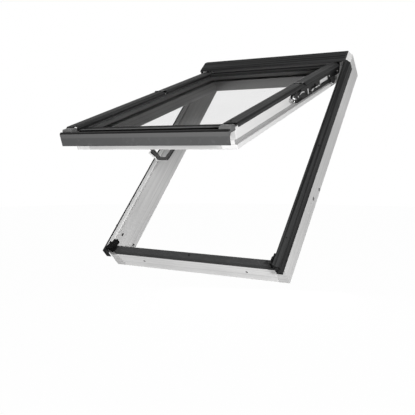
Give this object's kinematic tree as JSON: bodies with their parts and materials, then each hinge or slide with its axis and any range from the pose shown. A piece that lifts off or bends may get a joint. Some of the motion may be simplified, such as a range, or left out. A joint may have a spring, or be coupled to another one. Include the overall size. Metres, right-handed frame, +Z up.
{
  "type": "roof skylight",
  "caption": "Top-hung and pivoting roof window: white timber frame and open glazed sash under dark metal covers, with support arms, centre pivots, seals, lock and a bail handle.",
  "frame": {"origin": "the middle of the back face of the sill", "axes": "X across the window, Y level towards the ridge of the roof, Z up; the frame rises at 45 degrees"},
  "size_m": [0.78, 1.2274, 0.9362],
  "materials": {
    "timber": "white paint over timber, satin",
    "cover": "anthracite lacquered sheet, satin",
    "cap": "grey moulded caps",
    "black_plastic": "black moulded",
    "black_metal": "black coated steel",
    "steel": "zinc plated",
    "glass": "clear pane",
    "spacer": "dark sealed edge",
    "gasket": "black rubber",
    "seal": "grey rubber"
  },
  "bodies": {
    "frame": {"jamb_left": "timber", "jamb_right": "timber", "head_rail": "timber", "sill_rail": "timber", "jamb_cover_left": "cover", "jamb_cover_right": "cover", "sill_cover": "cover", "head_hood": "cover", "sill_block_left": "black_plastic", "sill_block_right": "black_plastic", "lock_keep": "steel", "hinge_bracket_left": "steel", "hinge_bracket_right": "steel"},
    "hanger": {"support_arm_left": "black_metal", "support_arm_right": "black_metal", "brake_shoe_left": "steel", "brake_shoe_right": "steel", "upper_cover_left": "cover", "upper_cover_right": "cover"},
    "sash": {"stile_left": "timber", "stile_right": "timber", "top_rail": "timber", "bottom_rail": "timber", "lower_cover_left": "cover", "lower_cover_right": "cover", "top_cover": "cover", "bottom_bead": "cover", "front_profile": "cover", "front_cap_left": "cap", "front_cap_right": "cap", "outer_pane": "glass", "inner_pane": "glass", "spacer_frame": "spacer", "glazing_gasket": "gasket", "side_seal_left": "seal", "side_seal_right": "seal", "bottom_seal": "seal", "pivot_pin_left": "steel", "pivot_pin_right": "steel", "lock_case": "steel", "handle_base": "steel"},
    "handle": {"handle_bail": "black_plastic"}
  },
  "joints": [
    {"name": "top_hung", "type": "hinge", "parent": "frame", "child": "hanger", "pos_m": [0, 0.68024, 0.87398], "axis": [-1, 0, 0], "range_deg": [-28, 7]},
    {"name": "centre_pivot", "type": "hinge", "parent": "hanger", "child": "sash", "pos_m": [0, 0.21282, 0.7269], "axis": [-1, 0, 0], "range_deg": [0, 150]},
    {"name": "handle_turn", "type": "hinge", "parent": "sash", "child": "handle", "pos_m": [0, -0.24978, 0.47881], "axis": [-1, 0, 0], "range_deg": [-35, 25]}
  ]
}
